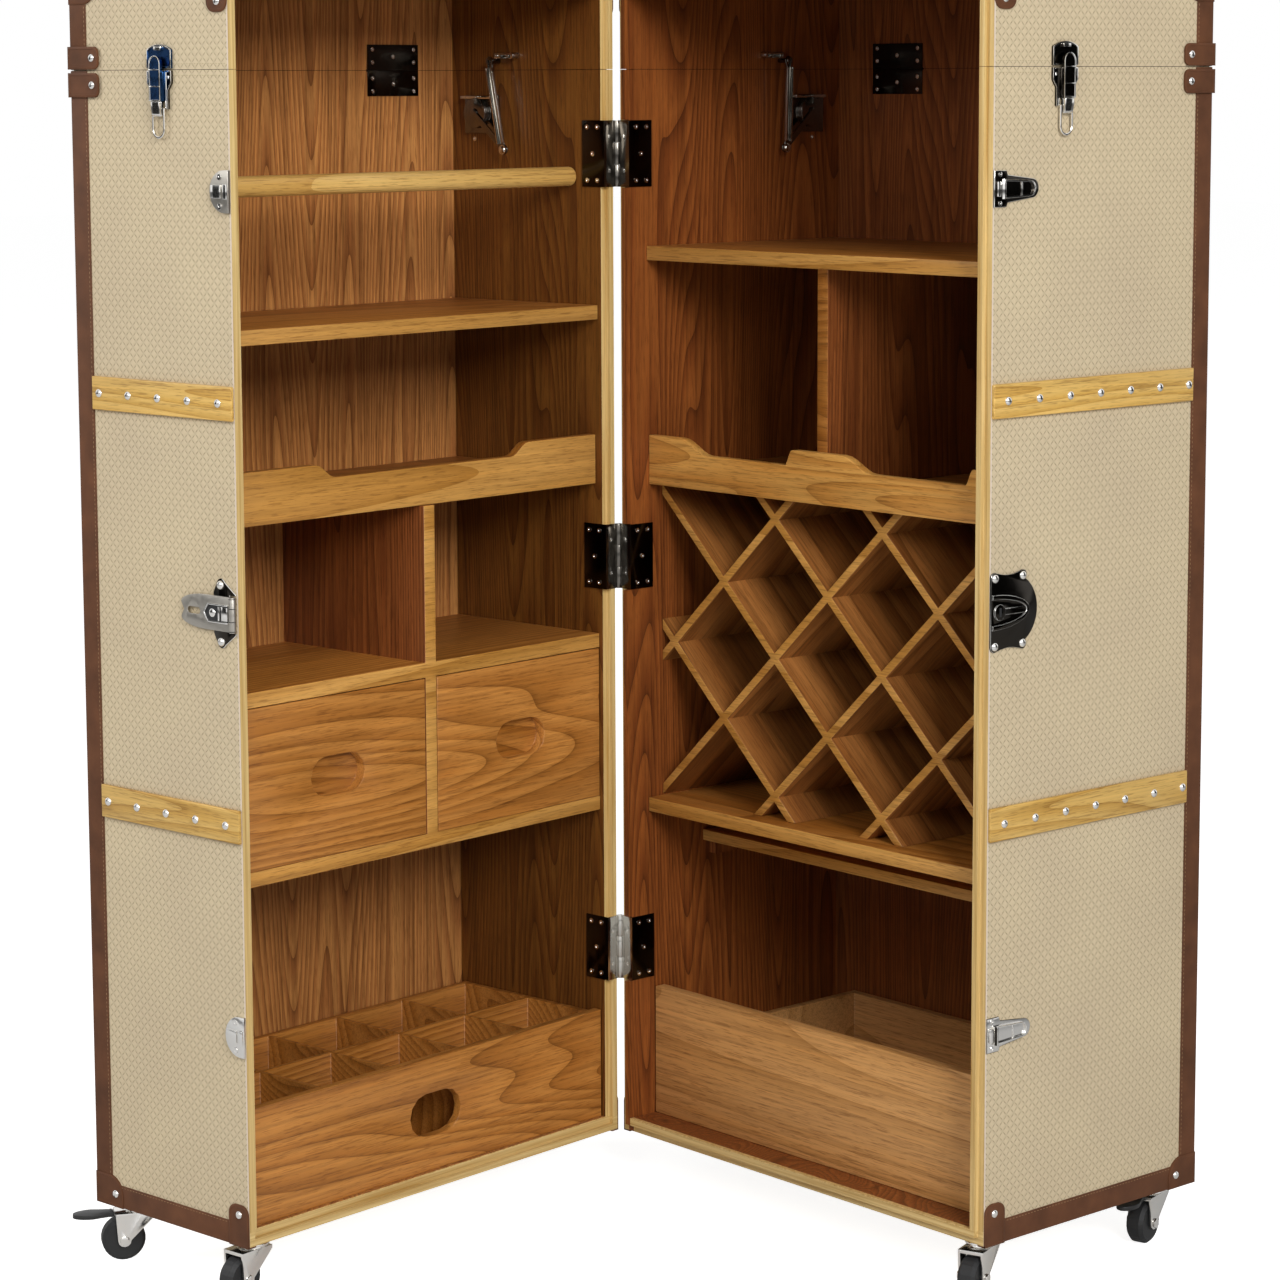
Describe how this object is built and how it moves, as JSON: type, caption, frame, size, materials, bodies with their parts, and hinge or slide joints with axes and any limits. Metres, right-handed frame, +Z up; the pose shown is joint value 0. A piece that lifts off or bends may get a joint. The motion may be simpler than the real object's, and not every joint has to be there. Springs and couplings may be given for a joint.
{
  "type": "bar cabinet",
  "caption": "Steamer-trunk bar cabinet on casters, open like a book, with a wine rack, shelves, drawers, a hanging rod, a pull-out board and hinged lids.",
  "frame": {"origin": "on the floor, under the middle of the open trunk's box", "axes": "+Z up, +X towards the outer side of the right half, +Y towards its back"},
  "size_m": [0.9156, 1.0772, 1.532],
  "materials": {
    "shell_wood": "brown oak veneer inside, light ash rims",
    "oak": "oiled honey oak, satin",
    "light_oak": "light oak, satin",
    "turned_pine": "turned pine, satin",
    "polished_nickel": "polished nickel",
    "tyre_rubber": "black rubber, matt",
    "black_plastic": "moulded, satin black",
    "leatherette": "beige, embossed diagonal weave",
    "leather": "brown leather, stitched, satin",
    "ash_strap": "light ash, oiled"
  },
  "bodies": {
    "right_half": {"right_shell": "shell_wood", "right_top_shelf": "oak", "right_gallery_shelf": "oak", "right_rack_shelf": "oak", "wine_rack": "oak", "hinge_bottom_right_leaf": "polished_nickel", "hinge_middle_right_leaf": "polished_nickel", "hinge_top_right_leaf": "polished_nickel", "right_lid_hinge_lower": "polished_nickel", "right_stay_housing": "polished_nickel", "right_top_latch_base": "polished_nickel", "right_bottom_latch_base": "polished_nickel", "lock_plate": "polished_nickel"},
    "left_half": {"left_shell": "shell_wood", "left_top_shelf": "oak", "hanging_rod": "turned_pine", "left_gallery_shelf": "oak", "drawer_case": "oak", "hinge_bottom_left_leaf": "polished_nickel", "hinge_middle_left_leaf": "polished_nickel", "hinge_top_left_leaf": "polished_nickel", "left_lid_hinge_lower": "polished_nickel", "left_stay_housing": "polished_nickel", "left_top_catch": "polished_nickel", "left_bottom_catch": "polished_nickel", "hasp_base": "polished_nickel"},
    "right_lid": {"right_lid": "shell_wood", "right_lid_hinge_upper": "polished_nickel", "right_lid_strike": "polished_nickel"},
    "left_lid": {"left_lid": "shell_wood", "left_lid_hinge_upper": "polished_nickel", "left_lid_strike": "polished_nickel"},
    "right_stay_arm": {"right_stay_arm": "polished_nickel"},
    "right_stay_link": {"right_stay_link": "polished_nickel"},
    "left_stay_arm": {"left_stay_arm": "polished_nickel"},
    "left_stay_link": {"left_stay_link": "polished_nickel"},
    "right_lid_lever": {"right_lid_lever": "polished_nickel"},
    "left_lid_lever": {"left_lid_lever": "polished_nickel"},
    "right_top_latch_lever": {"right_top_latch_lever": "polished_nickel"},
    "right_bottom_latch_lever": {"right_bottom_latch_lever": "polished_nickel"},
    "hasp": {"hasp": "polished_nickel"},
    "serving_board": {"serving_board": "oak"},
    "bin_drawer": {"bin_drawer": "light_oak"},
    "drawer_inner": {"drawer_inner": "oak"},
    "drawer_outer": {"drawer_outer": "oak"},
    "bottle_tray": {"bottle_tray": "oak"},
    "caster_fork_right_front": {"caster_fork_right_front": "polished_nickel"},
    "caster_wheel_right_front": {"caster_wheel_right_front": "tyre_rubber"},
    "caster_fork_right_back": {"caster_fork_right_back": "polished_nickel"},
    "caster_wheel_right_back": {"caster_wheel_right_back": "tyre_rubber"},
    "brake_pedal_right_back": {"brake_pedal_right_back": "black_plastic"},
    "caster_fork_right_inner": {"caster_fork_right_inner": "polished_nickel"},
    "caster_wheel_right_inner": {"caster_wheel_right_inner": "tyre_rubber"},
    "caster_fork_left_front": {"caster_fork_left_front": "polished_nickel"},
    "caster_wheel_left_front": {"caster_wheel_left_front": "tyre_rubber"},
    "caster_fork_left_back": {"caster_fork_left_back": "polished_nickel"},
    "caster_wheel_left_back": {"caster_wheel_left_back": "tyre_rubber"},
    "brake_pedal_left_back": {"brake_pedal_left_back": "black_plastic"},
    "caster_fork_left_inner": {"caster_fork_left_inner": "polished_nickel"},
    "caster_wheel_left_inner": {"caster_wheel_left_inner": "tyre_rubber"}
  },
  "joints": [
    {"name": "trunk_hinge", "type": "hinge", "parent": "right_half", "child": "left_half", "pos_m": [-0.18631, 0.15703, 0.8], "axis": [0, 0, -1], "range_deg": [-83.5, 96]},
    {"name": "right_lid_hinge", "type": "hinge", "parent": "right_half", "child": "right_lid", "pos_m": [0.13269, 0.53503, 1.421], "axis": [-1, 0, 0], "range_deg": [0, 70]},
    {"name": "left_lid_hinge", "type": "hinge", "parent": "left_half", "child": "left_lid", "pos_m": [-0.42641, -0.19139, 1.421], "axis": [0.1132, -0.9936, 0], "range_deg": [0, 70]},
    {"name": "right_stay_arm_pivot", "type": "hinge", "parent": "right_half", "child": "right_stay_arm", "pos_m": [-0.15131, 0.46083, 1.367], "axis": [-1, 0, 0], "range_deg": [0, 138]},
    {"name": "right_stay_link_pivot", "type": "hinge", "parent": "right_lid", "child": "right_stay_link", "pos_m": [-0.15131, 0.41483, 1.432], "axis": [1, 0, 0], "range_deg": [0, 52]},
    {"name": "left_stay_arm_pivot", "type": "hinge", "parent": "left_half", "child": "left_stay_arm", "pos_m": [-0.39478, 0.09805, 1.367], "axis": [0.1132, -0.9936, 0], "range_deg": [0, 103]},
    {"name": "left_stay_link_pivot", "type": "hinge", "parent": "left_lid", "child": "left_stay_link", "pos_m": [-0.36298, 0.10168, 1.432], "axis": [-0.1132, 0.9936, 0], "range_deg": [0, 40.5]},
    {"name": "right_lid_latch", "type": "hinge", "parent": "right_half", "child": "right_lid_lever", "pos_m": [0.45239, 0.27383, 1.373], "axis": [0, 1, 0], "range_deg": [0, 120]},
    {"name": "left_lid_latch", "type": "hinge", "parent": "left_half", "child": "left_lid_lever", "pos_m": [-0.23006, -0.49079, 1.373], "axis": [0.9936, 0.1132, 0], "range_deg": [0, 120]},
    {"name": "right_top_latch", "type": "hinge", "parent": "right_half", "child": "right_top_latch_lever", "pos_m": [0.45229, 0.17083, 1.286], "axis": [0, 0, -1], "range_deg": [0, 110]},
    {"name": "right_bottom_latch", "type": "hinge", "parent": "right_half", "child": "right_bottom_latch_lever", "pos_m": [0.45229, 0.17083, 0.3205], "axis": [0, 0, -1], "range_deg": [0, 110]},
    {"name": "hasp_hinge", "type": "hinge", "parent": "left_half", "child": "hasp", "pos_m": [-0.1214, -0.4772, 0.81], "axis": [0, 0, 1], "range_deg": [0, 178]},
    {"name": "serving_board_slide", "type": "slide", "parent": "right_half", "child": "serving_board", "axis": [0, -1, 0], "range_m": [0, 0.15]},
    {"name": "bin_slide", "type": "slide", "parent": "right_half", "child": "bin_drawer", "axis": [0, -1, 0], "range_m": [0, 0.22]},
    {"name": "drawer_inner_slide", "type": "slide", "parent": "left_half", "child": "drawer_inner", "axis": [0.9936, 0.1132, 0], "range_m": [0, 0.17]},
    {"name": "drawer_outer_slide", "type": "slide", "parent": "left_half", "child": "drawer_outer", "axis": [0.9936, 0.1132, 0], "range_m": [0, 0.17]},
    {"name": "bottle_tray_slide", "type": "slide", "parent": "left_half", "child": "bottle_tray", "axis": [0.9936, 0.1132, 0], "range_m": [0, 0.18]},
    {"name": "right_front_caster_swivel", "type": "hinge", "parent": "right_half", "child": "caster_fork_right_front", "pos_m": [0.41169, 0.19383, 0.066], "axis": [0, 0, 1], "continuous": true},
    {"name": "right_front_caster_roll", "type": "hinge", "parent": "caster_fork_right_front", "child": "caster_wheel_right_front", "pos_m": [0.41885, 0.17303, 0.026], "axis": [0.9455, 0.3256, 0], "continuous": true},
    {"name": "right_back_caster_swivel", "type": "hinge", "parent": "right_half", "child": "caster_fork_right_back", "pos_m": [0.41169, 0.49583, 0.066], "axis": [0, 0, 1], "continuous": true},
    {"name": "right_back_caster_roll", "type": "hinge", "parent": "caster_fork_right_back", "child": "caster_wheel_right_back", "pos_m": [0.41701, 0.47448, 0.026], "axis": [0.9703, 0.2419, 0], "continuous": true},
    {"name": "right_back_brake", "type": "hinge", "parent": "caster_fork_right_back", "child": "brake_pedal_right_back", "pos_m": [0.4204, 0.4609, 0.057], "axis": [0.9703, 0.2419, 0], "range_deg": [0, 12]},
    {"name": "right_inner_caster_swivel", "type": "hinge", "parent": "right_half", "child": "caster_fork_right_inner", "pos_m": [-0.14631, 0.49583, 0.066], "axis": [0, 0, 1], "continuous": true},
    {"name": "right_inner_caster_roll", "type": "hinge", "parent": "caster_fork_right_inner", "child": "caster_wheel_right_inner", "pos_m": [-0.14249, 0.47417, 0.026], "axis": [0.9848, 0.1736, 0], "continuous": true},
    {"name": "left_front_caster_swivel", "type": "hinge", "parent": "left_half", "child": "caster_fork_left_front", "pos_m": [-0.15518, -0.44129, 0.066], "axis": [0, 0, 1], "continuous": true},
    {"name": "left_front_caster_roll", "type": "hinge", "parent": "caster_fork_left_front", "child": "caster_wheel_left_front", "pos_m": [-0.15174, -0.46302, 0.026], "axis": [0.9877, 0.1564, 0], "continuous": true},
    {"name": "left_back_caster_swivel", "type": "hinge", "parent": "left_half", "child": "caster_fork_left_back", "pos_m": [-0.35588, -0.46416, 0.066], "axis": [0, 0, 1], "continuous": true},
    {"name": "left_back_caster_roll", "type": "hinge", "parent": "caster_fork_left_back", "child": "caster_wheel_left_back", "pos_m": [-0.36553, -0.48393, 0.026], "axis": [0.8988, -0.4384, 0], "continuous": true},
    {"name": "left_back_brake", "type": "hinge", "parent": "caster_fork_left_back", "child": "brake_pedal_left_back", "pos_m": [-0.37166, -0.49651, 0.057], "axis": [0.8988, -0.4384, 0], "range_deg": [0, 12]},
    {"name": "left_inner_caster_swivel", "type": "hinge", "parent": "left_half", "child": "caster_fork_left_inner", "pos_m": [-0.41905, 0.09025, 0.066], "axis": [0, 0, 1], "continuous": true},
    {"name": "left_inner_caster_roll", "type": "hinge", "parent": "caster_fork_left_inner", "child": "caster_wheel_left_inner", "pos_m": [-0.42097, 0.06834, 0.026], "axis": [0.9962, -0.0872, 0], "continuous": true}
  ],
  "couplings": [
    {"joint": "right_stay_arm_pivot", "follows": "right_lid_hinge", "ratio": 1.97},
    {"joint": "right_stay_link_pivot", "follows": "right_lid_hinge", "ratio": 0.7415},
    {"joint": "left_stay_arm_pivot", "follows": "left_lid_hinge", "ratio": 1.4679},
    {"joint": "left_stay_link_pivot", "follows": "left_lid_hinge", "ratio": 0.5749}
  ]
}
